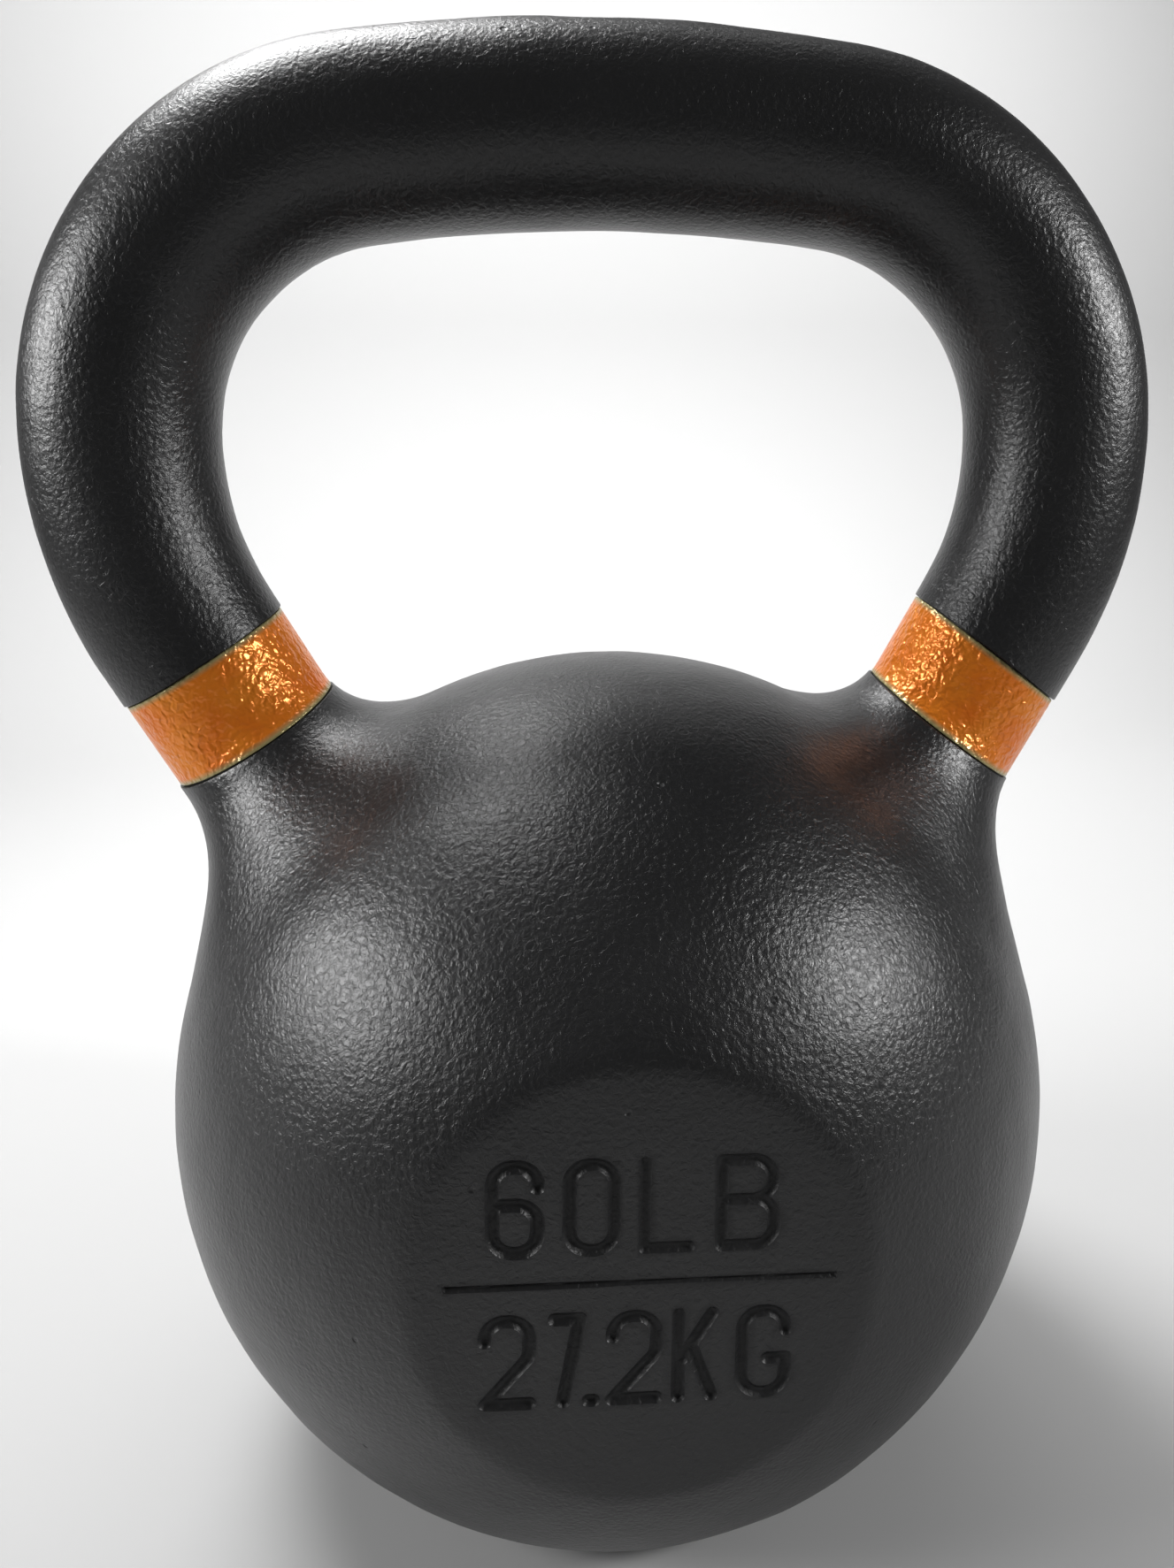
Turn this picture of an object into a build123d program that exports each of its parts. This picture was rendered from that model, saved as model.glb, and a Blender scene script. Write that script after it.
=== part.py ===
from build123d import *
import math
import os

# A one-piece cast-iron kettlebell: a ball with a flat base and two flat faces, a round handle
# bent into a wide loop, a weight marking sunk in the front face, and one colour band set into
# each leg of the handle. The origin is the centre of the base, +Z is up and the marked face
# looks along -Y. Lengths are in mm and angles in degrees.

# Ball
BALL_RADIUS = 93.5
BASE_RADIUS = 54.0          # flat ground on the underside
BASE_EDGE = 2.0             # rounding of the base's edge
FACE_DISTANCE = 85.8        # each flat face from the ball's centre
FACE_LEAN = 2.5             # each face leans back, so that it reads from above
FACE_EDGE = 4.0             # rounding of a face's edge

# Handle: crown, corner and flank arcs and a straight leg, tangent to each other
GRIP_RADIUS = 18.8
CROWN_RISE = 197.7          # bar's centreline above the ball's centre
CROWN_RADIUS = 353.0
CROWN_TURN = 7.6
CORNER_RADIUS = 57.0
CORNER_TURN = 77.5
FLANK_RADIUS = 76.0
LEG_LEAN = 29.5             # leg off the vertical
LEG_LENGTH = 95.0           # from the flank's end into the ball
ROOT_FILLET = 18.0          # where the legs grow out of the ball

# Colour bands, set into seats round the legs
RIGHT_START, LEFT_START = 6.2, 4.8  # each along its leg, from the flank's end
RIGHT_TILT, LEFT_TILT = 7.0, 1.0    # each off square to its leg, seen from the front
BAND_PITCH = 8.0            # lower in front than behind
BAND_WIDTH = 19.4
BAND_DEPTH = 1.2

# Weight marking: strokes drawn in a cell, sunk in the front face
CELL_HEIGHT = 14.4          # between the centres of the strokes
CELL_WIDTH = 7.0
BEND = 3.2                  # radius of a stroke's bends
STROKE = 2.5
MARK_DEPTH = 0.8
RULE_LENGTH = 63.0
RULE_WIDTH = 1.4
UPPER_LINE = 5.8            # foot of the upper line of characters, above the rule
LOWER_LINE = -20.2
UPPER_TEXT = (("6", -20.0), ("0", -8.0), ("L", 3.8), ("B", 16.6))
LOWER_TEXT = (("2", -21.3), ("7", -11.9), (".", -8.0), ("2", -1.1), ("K", 8.6), ("G", 19.7))
MARK_RISE = 0.8             # the whole marking sits a little high and turned clockwise
MARK_TURN = -1.4

# Each stroke is a run of corners in a cell one unit wide and one unit high
STROKES = {
    "0": [[(0.5, 1), (0, 1), (0, 0), (0.5, 0)], [(0.5, 1), (1, 1), (1, 0), (0.5, 0)]],
    "2": [[(0, 0.76), (0, 1), (1, 1), (1, 0.56), (0, 0)], [(0, 0), (1, 0)]],
    "6": [[(1, 0.76), (1, 1), (0, 1), (0, 0), (0.5, 0)], [(0, 0.56), (1, 0.56), (1, 0), (0.5, 0)]],
    "7": [[(0.24, 1), (0.8, 1)], [(0.8, 1), (0.42, 0)]],
    ".": [[(0.45, 0), (0.55, 0)]],
    "L": [[(0, 1), (0, 0)], [(0, 0), (1, 0)]],
    "B": [[(-0.1, 1), (-0.1, 0)], [(-0.1, 1), (1.05, 1), (1.05, 0.54), (-0.1, 0.54)],
          [(-0.1, 0.54), (1.1, 0.54), (1.1, 0), (-0.1, 0)]],
    "K": [[(0.12, 1), (0.12, 0)], [(0.88, 1), (0.12, 0.4)], [(0.4, 0.62), (0.88, 0)]],
    "G": [[(1, 0.76), (1, 1), (0, 1), (0, 0), (1, 0), (1, 0.42)], [(1, 0.42), (0.6, 0.42)]],
}

CENTRE_HEIGHT = math.sqrt(BALL_RADIUS**2 - BASE_RADIUS**2)
FLANK_TURN = 90 + LEG_LEAN - CROWN_TURN - CORNER_TURN
ON_TOP = (Align.CENTER, Align.CENTER, Align.MIN)


def centreline():
    """Right half of the handle's centreline, from the crown down into the ball."""
    crown = JernArc((0, CENTRE_HEIGHT + CROWN_RISE), (1, 0), CROWN_RADIUS, -CROWN_TURN)
    corner = JernArc(crown @ 1, crown % 1, CORNER_RADIUS, -CORNER_TURN)
    flank = JernArc(corner @ 1, corner % 1, FLANK_RADIUS, -FLANK_TURN)
    leg = Line(flank @ 1, (flank @ 1) + (flank % 1) * LEG_LENGTH)
    return [Plane.XZ * edge for edge in (crown, corner, flank, leg)]


def half_handle(radius):
    """Round tube along the right half of the centreline."""
    edges = centreline()
    section = Plane(edges[0] @ 0, z_dir=edges[0] % 0) * Circle(radius)
    return sweep(section, path=Wire(edges))


def rooted(body, limb):
    """Joins a half of the handle to the body, with a fillet where it meets the ball."""
    joined = body + limb
    ball_top = CENTRE_HEIGHT + BALL_RADIUS
    roots = [e for e in new_edges(body, limb, combined=joined) if e.center().Z < ball_top]
    return fillet(roots, ROOT_FILLET)


def face_plane(side):
    """Plane of one flat face, with its normal outwards: side 1 is the front, -1 the back."""
    lean = math.radians(FACE_LEAN)
    normal = Vector(0, -side * math.cos(lean), math.sin(lean))
    origin = Vector(0, 0, CENTRE_HEIGHT) + normal * FACE_DISTANCE
    return Plane(origin, x_dir=(side, 0, 0), z_dir=normal)


def trimmed(body, block, edge_radius):
    """Takes a block off the body, and rounds the edge that it leaves."""
    cut = body - block
    return fillet(new_edges(body, block, combined=cut), edge_radius)


def casting_blank():
    """Ball and handle in one piece, before the marking and the bands' seats are cut."""
    right = half_handle(GRIP_RADIUS)
    body = Pos(0, 0, CENTRE_HEIGHT) * Sphere(BALL_RADIUS)
    body = rooted(body, right)
    body = rooted(body, mirror(right, about=Plane.YZ))
    block = Box(2 * BALL_RADIUS, 2 * BALL_RADIUS, BALL_RADIUS, align=ON_TOP)
    body = trimmed(body, face_plane(1) * block, FACE_EDGE)
    body = trimmed(body, face_plane(-1) * block, FACE_EDGE)
    return trimmed(body, Rot(180, 0, 0) * block, BASE_EDGE)


def stroke_path(corners):
    """Centreline of one stroke, with its bends rounded."""
    points = [(x * CELL_WIDTH, y * CELL_HEIGHT) for x, y in corners]
    if len(points) == 2:
        return Line(*points)
    return FilletPolyline(*points, radius=BEND)


def marking():
    """The weight in pounds over the weight in kilograms, with a rule between them."""
    sketch = Rectangle(RULE_LENGTH, RULE_WIDTH)
    for text, foot in ((UPPER_TEXT, UPPER_LINE), (LOWER_TEXT, LOWER_LINE)):
        for character, centre in text:
            for corners in STROKES[character]:
                stroke = SlotArc(stroke_path(corners), STROKE)
                sketch += Pos(centre - CELL_WIDTH / 2, foot) * stroke
    placed = face_plane(1) * Pos(0, MARK_RISE) * Rot(0, 0, MARK_TURN) * sketch
    return extrude(placed, -MARK_DEPTH)


def right_seat(start, tilt):
    """Space that a band takes on the right leg: a slice across it, outside its core."""
    leg = centreline()[-1]
    along = (leg % 0).rotate(Axis.Y, tilt).rotate(Axis.X, BAND_PITCH)
    place = Plane((leg @ 0) + (leg % 0) * start, z_dir=along)
    slice_across = place * Cylinder(2 * GRIP_RADIUS, BAND_WIDTH, align=ON_TOP)
    return slice_across - half_handle(GRIP_RADIUS - BAND_DEPTH)


blank = casting_blank()
seats = {"right_colour_band": right_seat(RIGHT_START, RIGHT_TILT),
         "left_colour_band": mirror(right_seat(LEFT_START, LEFT_TILT), about=Plane.YZ)}
nodes = {name: blank & space for name, space in seats.items()}
nodes["iron_casting"] = blank - marking()
for space in seats.values():
    nodes["iron_casting"] -= space

os.makedirs("parts", exist_ok=True)
for name, shape in nodes.items():
    export_step(shape, f"parts/{name}.step")
    print(name, round(shape.volume), "mm3", "valid" if shape.is_valid else "NOT VALID")
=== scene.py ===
import math

import bpy
import numpy as np
from mathutils import Matrix, Vector


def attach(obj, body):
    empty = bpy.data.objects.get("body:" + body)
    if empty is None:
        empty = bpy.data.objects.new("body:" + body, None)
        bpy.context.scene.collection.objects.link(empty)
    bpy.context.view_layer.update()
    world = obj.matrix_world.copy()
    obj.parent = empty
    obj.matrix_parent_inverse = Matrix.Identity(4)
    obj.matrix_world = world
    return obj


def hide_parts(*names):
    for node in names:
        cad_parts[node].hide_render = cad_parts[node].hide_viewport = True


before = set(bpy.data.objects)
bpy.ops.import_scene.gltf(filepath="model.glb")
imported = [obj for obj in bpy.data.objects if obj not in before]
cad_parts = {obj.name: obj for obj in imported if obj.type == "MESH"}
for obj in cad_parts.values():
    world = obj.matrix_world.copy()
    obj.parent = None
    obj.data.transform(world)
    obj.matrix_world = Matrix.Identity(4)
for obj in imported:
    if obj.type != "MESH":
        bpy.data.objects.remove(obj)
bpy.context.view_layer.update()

# A powder-coated cast-iron kettlebell. Shapes are worked out in mm, with the origin at the
# centre of the base, and go into the meshes in metres.
MM = 0.001

# The casting's own sizes, as in the CAD model
BALL_RADIUS = 93.5
BASE_RADIUS = 54.0
FACE_DISTANCE = 85.8
FACE_LEAN = math.radians(2.5)
GRIP_RADIUS = 18.8
CROWN_RISE = 197.7
CROWN_RADIUS, CORNER_RADIUS, FLANK_RADIUS = 353.0, 57.0, 76.0
CROWN_TURN, CORNER_TURN, LEG_LEAN = 7.6, 77.5, 29.5
RIGHT_START, LEFT_START, BAND_WIDTH, BAND_DEPTH = 6.2, 4.8, 19.4, 1.2
RIGHT_TILT, LEFT_TILT, BAND_PITCH = math.radians(7.0), math.radians(1.0), math.radians(8.0)

# How the sand mould and the coat leave it
ROOT_BLEND = 15.0           # sweep of iron where a leg grows out of the ball
ROOT_SPREAD = 13.0          # that much wider on the front and back of the leg,
ROOT_DEPTH = 38.0           # which it reaches this far out from the middle
FACE_ROUND = 0.7            # softness of a face's edge
BASE_ROUND = 0.8            # softness of the edge round the base
SKIN_CELL = 1.75            # spacing of the finished mesh
SWELLS = ((0.16, 16.0, 1), (0.07, 5.5, 2))  # height, width and seed of each size of swell
SKIN_DROP = 0.1             # brings the swells' mean down to the skin's size
FOOT_FADE = 6.0             # the swells die out over this height above the base
COAT_LIP = 0.45             # the band lies this far under the black coat
BAND_GAP = 0.22             # dark line left beside each edge of a band
BAND_SHOULDER = 0.35        # rounding of a band's edges
BAND_LINE = 0.4             # pale line along each edge of a band
SEAT_CHAMFER = 0.2          # broken edge of a seat
CUTTER_CLEAR = 3.0          # how far a cutter stands out of the skin

# Weight marking
CELL_HEIGHT, CELL_WIDTH, STROKE, BEND = 14.4, 7.0, 2.5, 3.2
MARK_DEPTH, MARK_LIP, MARK_FADE = 0.8, 0.15, 0.6
RULE_LENGTH, RULE_WIDTH = 63.0, 1.4
UPPER_LINE, LOWER_LINE = 5.8, -20.2
UPPER_TEXT = (("6", -20.0), ("0", -8.0), ("L", 3.8), ("B", 16.6))
LOWER_TEXT = (("2", -21.3), ("7", -11.9), (".", -8.0), ("2", -1.1), ("K", 8.6), ("G", 19.7))
MARK_RISE, MARK_TURN = 0.8, math.radians(-1.4)
STROKES = {
    "0": [[(0.5, 1), (0, 1), (0, 0), (0.5, 0)], [(0.5, 1), (1, 1), (1, 0), (0.5, 0)]],
    "2": [[(0, 0.76), (0, 1), (1, 1), (1, 0.56), (0, 0)], [(0, 0), (1, 0)]],
    "6": [[(1, 0.76), (1, 1), (0, 1), (0, 0), (0.5, 0)], [(0, 0.56), (1, 0.56), (1, 0), (0.5, 0)]],
    "7": [[(0.24, 1), (0.8, 1)], [(0.8, 1), (0.42, 0)]],
    ".": [[(0.45, 0), (0.55, 0)]],
    "L": [[(0, 1), (0, 0)], [(0, 0), (1, 0)]],
    "B": [[(-0.1, 1), (-0.1, 0)], [(-0.1, 1), (1.05, 1), (1.05, 0.54), (-0.1, 0.54)],
          [(-0.1, 0.54), (1.1, 0.54), (1.1, 0), (-0.1, 0)]],
    "K": [[(0.12, 1), (0.12, 0)], [(0.88, 1), (0.12, 0.4)], [(0.4, 0.62), (0.88, 0)]],
    "G": [[(1, 0.76), (1, 1), (0, 1), (0, 0), (1, 0), (1, 0.42)], [(1, 0.42), (0.6, 0.42)]],
}

CENTRE_HEIGHT = math.sqrt(BALL_RADIUS**2 - BASE_RADIUS**2)
WINDOW_HEIGHT = CENTRE_HEIGHT + 135.0   # middle of the hand window


# ---------------------------------------------------------------- shape of the casting

def handle_arcs():
    """The right half of the handle's centreline in the XZ plane, from the crown down.

    Each arc is (centre x, centre z, radius, first heading, last heading), where a heading is
    the angle of travel below +X; each starts where the last one ended, tangent to it. Then
    the leg's start and its direction.
    """
    headings = np.radians([0, CROWN_TURN, CROWN_TURN + CORNER_TURN, 90 + LEG_LEAN])
    x, z, arcs = 0.0, CENTRE_HEIGHT + CROWN_RISE, []
    for radius, first, last in zip((CROWN_RADIUS, CORNER_RADIUS, FLANK_RADIUS), headings, headings[1:]):
        cx, cz = x - radius * math.sin(first), z - radius * math.cos(first)
        arcs.append((cx, cz, radius, first, last))
        x, z = cx + radius * math.sin(last), cz + radius * math.cos(last)
    lean = headings[-1]
    return arcs, np.array([x, 0, z]), np.array([math.cos(lean), 0, -math.sin(lean)])


ARCS, LEG_START, LEG_WAY = handle_arcs()


def off_centreline(x, z):
    """Distance from the handle's centreline, in the XZ plane: the least over its arcs and leg."""
    x = np.abs(x)
    along = np.maximum((x - LEG_START[0]) * LEG_WAY[0] + (z - LEG_START[2]) * LEG_WAY[2], 0)
    least = np.hypot(x - LEG_START[0] - along * LEG_WAY[0], z - LEG_START[2] - along * LEG_WAY[2])
    for cx, cz, radius, first, last in ARCS:
        heading = np.clip(np.arctan2(x - cx, z - cz), first, last)
        gap = np.hypot(x - cx - radius * np.sin(heading), z - cz - radius * np.cos(heading))
        least = np.minimum(least, gap)
    return least


def rounded_cut(a, b, r):
    """Depth field of two shapes' overlap, with the edge between them rounded by r."""
    edge = np.hypot(np.maximum(r + a, 0), np.maximum(r + b, 0))
    return np.minimum(-r, np.maximum(a, b)) + edge


def rounded_union(a, b, r):
    """Depth field of two shapes joined, with the crease between them filled by r."""
    crease = np.hypot(np.maximum(r - a, 0), np.maximum(r - b, 0))
    return np.maximum(r, np.minimum(a, b)) - crease


def casting_field(p):
    """How far each point of p lies outside the casting's skin; negative inside.

    A sphere cut by the base and the two leaning faces, joined by a filled crease to a tube
    of the grip's radius round the handle's centreline.
    """
    x, y, z = p[..., 0], p[..., 1], p[..., 2]
    high = z - CENTRE_HEIGHT
    ball = np.sqrt(x * x + y * y + high * high) - BALL_RADIUS
    for side in (-1, 1):
        face = side * y * math.cos(FACE_LEAN) + high * math.sin(FACE_LEAN) - FACE_DISTANCE
        ball = rounded_cut(ball, face, FACE_ROUND)
    ball = rounded_cut(ball, -z, BASE_ROUND)
    bar = np.hypot(off_centreline(x, z), y) - GRIP_RADIUS
    forward = np.clip(np.abs(y) / ROOT_DEPTH, 0, 1)
    return rounded_union(ball, bar, ROOT_BLEND + ROOT_SPREAD * forward**2 * (3 - 2 * forward))


def outward(p, step=0.05):
    """Unit normals of the casting's field, by central differences."""
    shifts = np.eye(3) * step
    slope = np.stack([casting_field(p + s) - casting_field(p - s) for s in shifts], -1)
    return slope / np.linalg.norm(slope, axis=-1, keepdims=True)


def march(start, way, reach, halvings=24):
    """Distance along each ray from inside the casting to its skin, by halving an interval."""
    low = np.zeros(way.shape[:-1])
    high = np.full(way.shape[:-1], reach)
    for _ in range(halvings):
        middle = (low + high) / 2
        inside = casting_field(start + middle[..., None] * way) < 0
        low, high = np.where(inside, middle, low), np.where(inside, high, middle)
    return high


def casting_grid(turns=300, rings=120, spoke_reach=250.0, steps=1001, ray_reach=130.0):
    """The casting's skin as one closed grid.

    Half-planes turn about the Y-parallel line through the middle of the hand window. Each
    cuts the casting in one closed outline, and each point is where a ray at angle v from the
    middle of that cut meets the skin.
    """
    u = np.linspace(0, 2 * np.pi, turns, endpoint=False)
    v = np.linspace(0, 2 * np.pi, rings, endpoint=False)
    window = np.array([0, 0, WINDOW_HEIGHT])
    spoke = np.stack([np.cos(u), 0 * u, np.sin(u)], -1)
    t = np.linspace(0, spoke_reach, steps)
    inside = casting_field(window + t[None, :, None] * spoke[:, None]) < 0
    middle = (t[inside.argmax(1)] + t[steps - 1 - inside[:, ::-1].argmax(1)]) / 2
    start = window + middle[:, None] * spoke
    across = np.array([0, 1.0, 0])
    way = np.cos(v)[None, :, None] * spoke[:, None] + np.sin(v)[None, :, None] * across
    return start[:, None] + march(start[:, None], way, ray_reach)[..., None] * way


def unevenness(p, cell, seed, count=32):
    """Smooth random heights between -1 and 1, about one swell to each cell of space.

    The eight corners of the point's cell hold random heights, mixed by smoothed distance.
    """
    lattice = np.random.default_rng(seed).uniform(-1, 1, (count, count, count))
    q = p / cell
    low = np.floor(q).astype(int)
    f = q - low
    f = f * f * (3 - 2 * f)
    total = 0
    for corner in np.ndindex(2, 2, 2):
        weight = np.prod(np.where(corner, f, 1 - f), axis=-1)
        total = total + weight * lattice[tuple(((low + corner) % count).T)]
    return total


# ---------------------------------------------------------------- meshes

def new_piece(name, points, faces):
    """A mesh object from an array of points in mm and a list of faces."""
    mesh = bpy.data.meshes.new(name)
    mesh.from_pydata((points.reshape(-1, 3) * MM).tolist(), [], faces)
    mesh.update()
    piece = bpy.data.objects.new(name, mesh)
    bpy.context.scene.collection.objects.link(piece)
    return piece


def grid_faces(rows, columns, wrap_rows=True, wrap_columns=True):
    """Quads between neighbours of a grid, closed on itself where it wraps."""
    r = np.arange(rows if wrap_rows else rows - 1)[:, None]
    c = np.arange(columns if wrap_columns else columns - 1)[None, :]
    r1, c1 = (r + 1) % rows, (c + 1) % columns
    quads = np.stack([r * columns + c, r1 * columns + c, r1 * columns + c1, r * columns + c1], -1)
    return quads.reshape(-1, 4).tolist()


def turned(faces):
    """The same faces, looking the other way."""
    return [face[::-1] for face in faces]


def apply_modifiers(piece):
    """Turns a piece's modifiers into its mesh."""
    evaluated = piece.evaluated_get(bpy.context.evaluated_depsgraph_get())
    finished = bpy.data.meshes.new_from_object(evaluated)
    old, name = piece.data, piece.data.name
    piece.modifiers.clear()
    piece.data = finished
    bpy.data.meshes.remove(old)
    finished.name = name


def vertices(mesh):
    """The mesh's points, in metres, as an array."""
    co = np.empty(len(mesh.vertices) * 3)
    mesh.vertices.foreach_get("co", co)
    return co.reshape(-1, 3)


def settle(p, edges, rounds=6):
    """Evens out the mesh along the skin: each point moves to the mean of its neighbours and
    back down the field's slope to the skin."""
    count = np.bincount(edges.ravel(), minlength=len(p))[:, None]
    for _ in range(rounds):
        total = np.zeros_like(p)
        np.add.at(total, edges[:, 0], p[edges[:, 1]])
        np.add.at(total, edges[:, 1], p[edges[:, 0]])
        p = (p + total / count) / 2
        for _ in range(2):
            p = p - casting_field(p)[:, None] * outward(p)
    return p


def casting_skin():
    """The whole casting, evenly meshed, with the slight swells of a sand mould."""
    grid = casting_grid()
    piece = new_piece("casting_skin", grid, grid_faces(*grid.shape[:2]))
    remesh = piece.modifiers.new("even", "REMESH")
    remesh.mode = "VOXEL"
    remesh.voxel_size = SKIN_CELL * MM
    apply_modifiers(piece)
    mesh = piece.data
    edges = np.empty(len(mesh.edges) * 2, int)
    mesh.edges.foreach_get("vertices", edges)
    p = settle(vertices(mesh) / MM, edges.reshape(-1, 2))
    swell = sum(height * unevenness(p, width, seed) for height, width, seed in SWELLS) - SKIN_DROP
    rise = np.clip(p[:, 2] / FOOT_FADE, 0, 1)
    p = p + (swell * rise)[:, None] * outward(p)
    p[:, 2] = np.maximum(p[:, 2], 0)
    mesh.vertices.foreach_set("co", (p * MM).ravel())
    mesh.update()
    return piece


def band_axes(start, tilt):
    """Start, way along, and the two directions across a band on the right leg, which sits
    tilted seen from the front and lower in front than behind."""
    c, s = math.cos(tilt), math.sin(tilt)
    tilted = np.array([LEG_WAY[0] * c + LEG_WAY[2] * s, 0, LEG_WAY[2] * c - LEG_WAY[0] * s])
    c, s = math.cos(BAND_PITCH), math.sin(BAND_PITCH)
    along = np.array([tilted[0], -tilted[2] * s, tilted[2] * c])
    side = np.cross(along, [0, 1.0, 0])
    side /= np.linalg.norm(side)
    return LEG_START + LEG_WAY * start, along, side, np.cross(along, side)


def ring_round_leg(name, profile, left, segments=288, reach=50.0):
    """A closed ring round a leg: a profile of (place along the band, depth under the skin)
    carried round the leg, where the skin is found by a ray from the band's axis."""
    seat = (LEFT_START, LEFT_TILT) if left else (RIGHT_START, RIGHT_TILT)
    start, along, side, back = band_axes(*seat)
    a = np.linspace(0, 2 * np.pi, segments, endpoint=False)
    way = np.cos(a)[:, None] * side + np.sin(a)[:, None] * back
    place, depth = np.asarray(profile).T
    centre = start + place[:, None] * along
    ways = np.broadcast_to(way[:, None], (segments, len(place), 3))
    skin = march(centre[None], ways, reach)
    p = centre[None] + (skin - depth[None])[..., None] * ways
    faces = grid_faces(segments, len(place))
    if left:
        return new_piece(name, p * [-1, 1, 1], turned(faces))
    return new_piece(name, p, faces)


def band_profile():
    """Outline of a band's section: flat floor, and a crown with softly rounded shoulders."""
    low, high, r = BAND_GAP, BAND_WIDTH - BAND_GAP, BAND_SHOULDER
    turn = np.linspace(0, np.pi / 2, 5)
    crown = np.linspace(low + r, high - r, 17)[1:-1]
    first = [(low + r - r * math.cos(t), COAT_LIP + r - r * math.sin(t)) for t in turn]
    last = [(high - r + r * math.sin(t), COAT_LIP + r - r * math.cos(t)) for t in turn]
    top = [(x, COAT_LIP) for x in crown]
    floor = [(x, BAND_DEPTH) for x in np.linspace(high, low, 9)]
    return first + top + last + floor


def seat_profile():
    """Outline of what the seat's cutter takes out, from its floor to clear of the skin."""
    low, high, slack = 0.0, BAND_WIDTH, 0.02
    floor = [(x, BAND_DEPTH + slack) for x in np.linspace(high, low, 12)]
    wide_low, wide_high = low - 2 * SEAT_CHAMFER, high + 2 * SEAT_CHAMFER
    return floor + [(low, SEAT_CHAMFER), (wide_low, -SEAT_CHAMFER), (wide_low, -CUTTER_CLEAR),
                    (wide_high, -CUTTER_CLEAR), (wide_high, -SEAT_CHAMFER), (high, SEAT_CHAMFER)]


# ---------------------------------------------------------------- weight marking

def stroke_points(corners, steps=9):
    """Points along one stroke: straight runs with each bend an arc of the bend's radius."""
    p = np.array(corners, float) * [CELL_WIDTH, CELL_HEIGHT]
    points = [p[0]]
    for before, corner, after in zip(p, p[1:], p[2:]):
        a, b = before - corner, after - corner
        a, b = a / np.linalg.norm(a), b / np.linalg.norm(b)
        half = math.acos(np.clip(a @ b, -1, 1)) / 2
        middle = corner + (a + b) / np.linalg.norm(a + b) * BEND / math.sin(half)
        first, last = corner + a * BEND / math.tan(half), corner + b * BEND / math.tan(half)
        for t in np.linspace(0, 1, steps):
            spoke = first * (1 - t) + last * t - middle
            points.append(middle + spoke / np.linalg.norm(spoke) * BEND)
    points.append(p[-1])
    return np.array(points)


def off_run(q, points):
    """Distance of each point of q from a run of straight pieces."""
    least = np.full(q.shape[:-1], np.inf)
    for a, b in zip(points, points[1:]):
        way = b - a
        t = np.clip(((q - a) @ way) / max(way @ way, 1e-9), 0, 1)
        least = np.minimum(least, np.linalg.norm(q - a - t[..., None] * way, axis=-1))
    return least


def off_marking(q):
    """How far each point of the face lies outside the marking's strokes; negative inside."""
    c, s = math.cos(MARK_TURN), math.sin(MARK_TURN)
    q = (q - [0, MARK_RISE]) @ np.array([[c, -s], [s, c]])
    half = np.array([RULE_LENGTH, RULE_WIDTH]) / 2
    over = np.abs(q) - half
    least = np.linalg.norm(np.maximum(over, 0), axis=-1) + np.minimum(over.max(-1), 0)
    for text, foot in ((UPPER_TEXT, UPPER_LINE), (LOWER_TEXT, LOWER_LINE)):
        for character, centre in text:
            place = np.array([centre - CELL_WIDTH / 2, foot])
            near = np.abs(q[..., 0] - centre) < CELL_WIDTH
            for corners in STROKES[character]:
                gap = off_run(q[near], stroke_points(corners) + place) - STROKE / 2
                least[near] = np.minimum(least[near], gap)
    return least


def marking_cutter():
    """A slab over the front face whose underside dips into it along the strokes.

    The underside's height above the face falls smoothly from a little above it, at MARK_LIP
    outside a stroke's edge, to the marking's depth, near the middle of the stroke.
    """
    pitch, lift, side_room, end_room = 0.28, 0.25, 2, 4
    x = np.arange(-RULE_LENGTH / 2 - side_room, RULE_LENGTH / 2 + side_room, pitch)
    z = np.arange(LOWER_LINE - end_room, UPPER_LINE + CELL_HEIGHT + end_room, pitch)
    q = np.stack(np.meshgrid(x, z, indexing="ij"), -1)
    fall = np.clip((MARK_LIP - off_marking(q)) / (MARK_LIP + STROKE / 2), 0, 1)
    under = lift - (MARK_DEPTH + lift) * np.sin(fall * np.pi / 2)
    right = np.array([1.0, 0, 0])
    up = np.array([0, math.sin(FACE_LEAN), math.cos(FACE_LEAN)])
    out = np.array([0, -math.cos(FACE_LEAN), math.sin(FACE_LEAN)])
    flat = np.array([0, 0, CENTRE_HEIGHT]) + out * FACE_DISTANCE + q[..., :1] * right + q[..., 1:] * up
    below = flat + under[..., None] * out
    rows, columns = q.shape[:2]
    corners = flat[[0, -1, -1, 0], [0, 0, -1, -1]] + CUTTER_CLEAR * out
    n = rows * columns
    index = np.arange(n).reshape(rows, columns)
    faces = turned(grid_faces(rows, columns, False, False))
    sides = (index[:, 0], index[-1, :], index[::-1, -1], index[0, ::-1])
    for k, side in enumerate(sides):
        faces.append(side.tolist() + [n + (k + 1) % 4, n + k])
    faces.append([n, n + 1, n + 2, n + 3])
    return new_piece("marking_cutter", np.concatenate([below.reshape(-1, 3), corners]), faces)


def cut(piece, cutters):
    """Takes the cutters out of the piece, exactly."""
    for cutter in cutters:
        knife = piece.modifiers.new("cut", "BOOLEAN")
        knife.operation = "DIFFERENCE"
        knife.solver = "EXACT"
        knife.object = cutter
    apply_modifiers(piece)
    for cutter in cutters:
        bpy.data.objects.remove(cutter)


def store(piece, name, values):
    """Keeps one number for each point of a piece, for its material to read."""
    piece.data.attributes.new(name, "FLOAT", "POINT").data.foreach_set("value", values)


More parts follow.
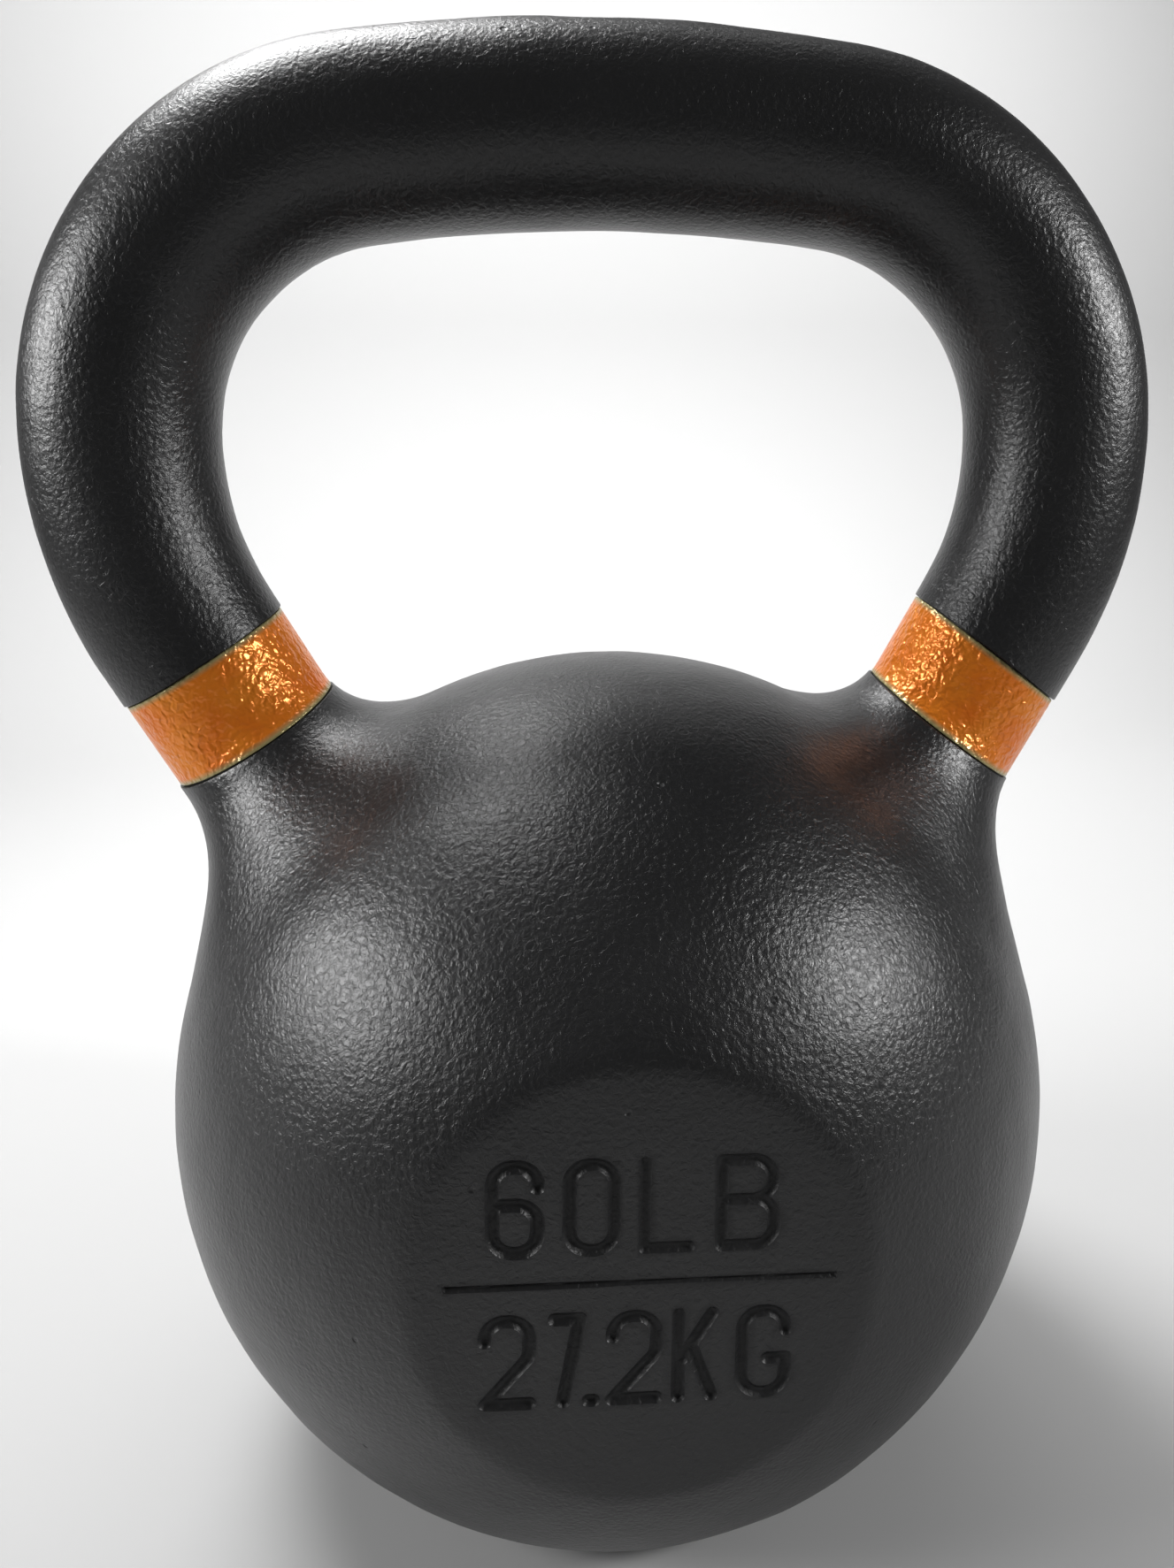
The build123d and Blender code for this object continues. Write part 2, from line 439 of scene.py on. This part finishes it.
def mark_recess(piece):
    """Stores how far inside the marking's strokes each point lies: 0 at an edge, 1 inside."""
    p = vertices(piece.data) / MM
    high = p[:, 1] * math.sin(FACE_LEAN) + (p[:, 2] - CENTRE_HEIGHT) * math.cos(FACE_LEAN)
    inside = MARK_LIP - off_marking(np.stack([p[:, 0], high], -1))
    store(piece, "recess", np.where(p[:, 1] < 0, np.clip(inside / MARK_FADE, 0, 1), 0))


def mark_edges(ring):
    """Stores 1 along the two edges of a band and 0 between them."""
    place = np.array([place for place, depth in band_profile()])
    line = BAND_GAP + BAND_LINE
    edge = (place < line) | (place > BAND_WIDTH - line)
    store(ring, "edge", np.tile(edge.astype(float), len(ring.data.vertices) // len(edge)))


def soften(piece, angle=32):
    """Smooth shading, broken only at real edges."""
    piece.data.polygons.foreach_set("use_smooth", np.ones(len(piece.data.polygons), bool))
    piece.data.set_sharp_from_angle(angle=math.radians(angle))
    piece.data.update()


# ---------------------------------------------------------------- materials

def linear(hex_colour):
    """An sRGB hex colour as linear RGBA."""
    channels = [int(hex_colour[i:i + 2], 16) / 255 for i in (1, 3, 5)]
    return [c / 12.92 if c <= 0.04045 else ((c + 0.055) / 1.055) ** 2.4 for c in channels] + [1.0]


def add(tree, kind, settings=None, links=None):
    """Adds one node: settings by attribute or by input name, links as input name to socket.
    Attributes come first, because they decide which inputs the node has."""
    node = tree.nodes.new(kind)
    for key, value in (settings or {}).items():
        if hasattr(node, str(key)):
            setattr(node, key, value)
    for key, value in (settings or {}).items():
        if not hasattr(node, str(key)):
            node.inputs[key].default_value = value
    for key, socket in (links or {}).items():
        tree.links.new(socket, node.inputs[key])
    return node


def new_material(name):
    """An empty material, its tree, and the place of each point on the object in metres."""
    material = bpy.data.materials.new(name)
    material.use_nodes = True
    tree = material.node_tree
    tree.nodes.clear()
    place = add(tree, "ShaderNodeTexCoord").outputs["Object"]
    return material, tree, place


def per_mm(size):
    """Texture scale whose pattern repeats about every `size` mm on coordinates in metres."""
    return 1 / (size * MM)


def ramp(tree, socket, low, high, to_low, to_high):
    """Stretches a value from low..high to to_low..to_high, clamped."""
    node = add(tree, "ShaderNodeMapRange", {"From Min": low, "From Max": high,
               "To Min": to_low, "To Max": to_high}, {"Value": socket})
    return node.outputs["Result"]


def mixed(tree, amount, first, second):
    """A colour between two, each a hex colour or a socket, by the amount in a socket."""
    factor, colour_a, colour_b, colour_out = 0, 6, 7, 2     # the node's sockets for colours
    node = add(tree, "ShaderNodeMix", {"data_type": "RGBA"}, {factor: amount})
    for place, colour in ((colour_a, first), (colour_b, second)):
        if isinstance(colour, str):
            node.inputs[place].default_value = linear(colour)
        else:
            tree.links.new(colour, node.inputs[place])
    return node.outputs[colour_out]


def combined(tree, first, weight, second):
    """first * weight + second, for sockets first and second."""
    node = add(tree, "ShaderNodeMath", {"operation": "MULTIPLY_ADD"}, {0: first, 2: second})
    node.inputs[1].default_value = weight
    return node.outputs[0]


def coat_relief(tree, place):
    """Relief of a textured powder coat: grains of about 1 mm that melted and ran together,
    finer wrinkles over them, and here and there a pinhole where the iron let gas through."""
    grains = add(tree, "ShaderNodeTexVoronoi", {"feature": "SMOOTH_F1", "Scale": per_mm(1.0),
                 "Smoothness": 0.6}, {"Vector": place}).outputs["Distance"]
    wrinkles = add(tree, "ShaderNodeTexNoise", {"Scale": per_mm(1.1), "Detail": 3.0,
                   "Roughness": 0.65, "Distortion": 0.8}, {"Vector": place}).outputs["Fac"]
    holes = add(tree, "ShaderNodeTexVoronoi", {"feature": "F1", "Scale": per_mm(14.0)},
                {"Vector": place}).outputs["Distance"]
    pinhole = ramp(tree, holes, 0.02, 0.05, 1.0, 0.0)
    return combined(tree, pinhole, -1.6, combined(tree, grains, 0.35, wrinkles))


def powder_coat():
    """Black textured polyester powder coat, sprayed dry on cast iron and baked: the grains
    melt and run together, which leaves a fine pebbled skin, half-matt, that breaks each soft
    highlight into specks. It is duller in the marking, where the spray hardly reaches, and
    rubbed grey round the foot, where the bell is set down."""
    material, tree, place = new_material("black_textured_powder_coat")
    bump = add(tree, "ShaderNodeBump", {"Strength": 1.0, "Distance": 0.18 * MM},
               {"Height": coat_relief(tree, place)}).outputs["Normal"]
    patches = add(tree, "ShaderNodeTexNoise", {"Scale": per_mm(30.0), "Detail": 4.0},
                  {"Vector": place}).outputs["Fac"]
    recess = add(tree, "ShaderNodeAttribute", {"attribute_name": "recess"}).outputs["Fac"]
    height = add(tree, "ShaderNodeSeparateXYZ", None, {"Vector": place}).outputs["Z"]
    scuffs = add(tree, "ShaderNodeTexNoise", {"Scale": per_mm(4.0), "Detail": 4.0},
                 {"Vector": place}).outputs["Fac"]
    foot = combined(tree, scuffs, -6 * MM, height)
    worn = ramp(tree, foot, -3.0 * MM, -1.6 * MM, 0.7, 0.0)
    coat = mixed(tree, patches, "#0F0F10", "#151516")
    gloss = combined(tree, recess, 0.15, ramp(tree, patches, 0.3, 0.7, 0.31, 0.38))
    shader = add(tree, "ShaderNodeBsdfPrincipled", {"IOR": 1.5},
                 {"Base Color": mixed(tree, worn, coat, "#55534F"), "Roughness": gloss,
                  "Specular IOR Level": ramp(tree, recess, 0.0, 1.0, 0.5, 0.3), "Normal": bump})
    add(tree, "ShaderNodeOutputMaterial", None, {"Surface": shader.outputs["BSDF"]})
    return material


def band_enamel():
    """Orange metallic enamel rolled over the cast grain between two masked lines: lumpy and
    glossy, so that a light breaks into golden glints, with a pale tan line along each edge."""
    material, tree, place = new_material("orange_band_enamel")
    lumps = add(tree, "ShaderNodeTexNoise", {"Scale": per_mm(1.5), "Detail": 1.0,
                "Distortion": 0.3}, {"Vector": place}).outputs["Fac"]
    bump = add(tree, "ShaderNodeBump", {"Strength": 1.0, "Distance": 0.6 * MM},
               {"Height": lumps}).outputs["Normal"]
    patches = add(tree, "ShaderNodeTexNoise", {"Scale": per_mm(9.0), "Detail": 3.0},
                  {"Vector": place}).outputs["Fac"]
    edge = add(tree, "ShaderNodeAttribute", {"attribute_name": "edge"}).outputs["Fac"]
    colour = mixed(tree, edge, mixed(tree, patches, "#D25A0A", "#E08A22"), "#9A8F62")
    shader = add(tree, "ShaderNodeBsdfPrincipled", {"IOR": 1.5, "Roughness": 0.28, "Metallic": 0.35},
                 {"Base Color": colour, "Normal": bump})
    add(tree, "ShaderNodeOutputMaterial", None, {"Surface": shader.outputs["BSDF"]})
    return material


def studio_paper():
    """Pale grey seamless background paper: matt, with no pattern of its own."""
    material, tree, _ = new_material("pale_studio_paper")
    shader = add(tree, "ShaderNodeBsdfPrincipled", {"Base Color": linear("#B2B2B2"), "Roughness": 0.9})
    add(tree, "ShaderNodeOutputMaterial", None, {"Surface": shader.outputs["BSDF"]})
    return material


# ---------------------------------------------------------------- studio

def paper_sweep():
    """Floor and backdrop in one sheet: flat, then up through a quarter circle to a wall."""
    near, reach, bend, wall, half = -2500.0, 700.0, 400.0, 1000.0, 2200.0
    turn = np.linspace(0, np.pi / 2, 25)
    y = np.concatenate([[near], reach + bend * np.sin(turn), [reach + bend]])
    z = np.concatenate([[0.0], bend - bend * np.cos(turn), [bend + wall]])
    x = np.array([-half, half])
    p = np.stack([np.broadcast_to(x[:, None], (2, len(y))), np.broadcast_to(y, (2, len(y))),
                  np.broadcast_to(z, (2, len(y)))], -1)
    piece = new_piece("studio_paper", p, grid_faces(2, len(y), False, False))
    piece.data.materials.append(studio_paper())
    soften(piece, 60)


def area_light(name, place, aim, width, height, power, spread):
    """A soft rectangular light at a place, turned to face its aim; metres, watts and the
    angle its honeycomb lets through."""
    light = bpy.data.lights.new(name, "AREA")
    light.shape = "RECTANGLE"
    light.size, light.size_y, light.energy = width, height, power
    light.spread = math.radians(spread)
    lamp = bpy.data.objects.new(name, light)
    lamp.location = place
    lamp.rotation_euler = (Vector(aim) - Vector(place)).to_track_quat("-Z", "Y").to_euler()
    bpy.context.scene.collection.objects.link(lamp)


def softbox(name, azimuth, elevation, width, height, power, spread, distance=1.2):
    """A softbox facing the ball, placed by its angle from the front (-Y towards +X) and its
    angle above the ball's centre."""
    a, e = math.radians(azimuth), math.radians(elevation)
    way = Vector((math.sin(a) * math.cos(e), -math.cos(a) * math.cos(e), math.sin(e)))
    centre = Vector((0, 0, CENTRE_HEIGHT * MM))
    area_light(name, centre + way * distance, centre, width, height, power, spread)


def studio_light():
    """A softbox each side, one overhead behind, one on the backdrop, and a dim room."""
    # Degrees round and up, metres wide and high, watts, and degrees of spread
    softbox("left_softbox", -80, 23, 0.55, 0.32, 2.5, 80)
    softbox("right_softbox", 70, 25, 0.17, 0.18, 2.2, 90)
    softbox("top_softbox", -132, 63, 0.6, 0.45, 2.8, 70)
    area_light("backdrop_light", (0, 0.5, 1.1), (0, 1.0, 0.15), 1.4, 0.3, 15.0, 120)
    world = bpy.data.worlds.new("dim_room")
    world.use_nodes = True
    world.node_tree.nodes["Background"].inputs["Color"].default_value = (1, 1, 1, 1)
    world.node_tree.nodes["Background"].inputs["Strength"].default_value = 0.12
    bpy.context.scene.world = world


def camera():
    """A close, wide-angle view from just above the ball, a little to the left of centre."""
    lens = bpy.data.cameras.new("camera")
    lens.lens, lens.sensor_width = 26.63, 36.0
    lens.shift_x, lens.shift_y = -0.0385, -0.0298
    lens.clip_start = 0.01
    eye = bpy.data.objects.new("camera", lens)
    place = np.array([-12.33, -247.74, CENTRE_HEIGHT + 125.02]) * MM
    turn, dip, roll = math.radians(-4.848), math.radians(11.371), math.radians(-0.42)
    aim = (Matrix.Rotation(turn, 4, "Z") @ Matrix.Rotation(math.pi / 2 - dip, 4, "X")
           @ Matrix.Rotation(roll, 4, "Z"))
    eye.matrix_world = Matrix.Translation(place.tolist()) @ aim
    bpy.context.scene.collection.objects.link(eye)
    bpy.context.scene.camera = eye


# ---------------------------------------------------------------- the kettlebell

def finish_piece(piece, material, node):
    """Gives a piece its material and puts it in its CAD node's place."""
    piece.data.materials.clear()
    piece.data.materials.append(material)
    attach(piece, "root")
    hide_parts(node)


def make_casting():
    """Ball and handle in one, with its two band seats and the marking cut in."""
    casting = casting_skin()
    seats = [ring_round_leg("seat_cutter", seat_profile(), left) for left in (False, True)]
    cut(casting, seats + [marking_cutter()])
    mark_recess(casting)
    soften(casting)
    finish_piece(casting, powder_coat(), "iron_casting")


def make_bands():
    """The two orange rings, each lying in its seat."""
    enamel = band_enamel()
    for name, left in (("right_colour_band", False), ("left_colour_band", True)):
        ring = ring_round_leg(name + "_ring", band_profile(), left)
        soften(ring, 50)
        mark_edges(ring)
        finish_piece(ring, enamel, name)


camera()
paper_sweep()
studio_light()
bpy.context.scene.view_settings.view_transform = "Standard"
make_casting()
make_bands()
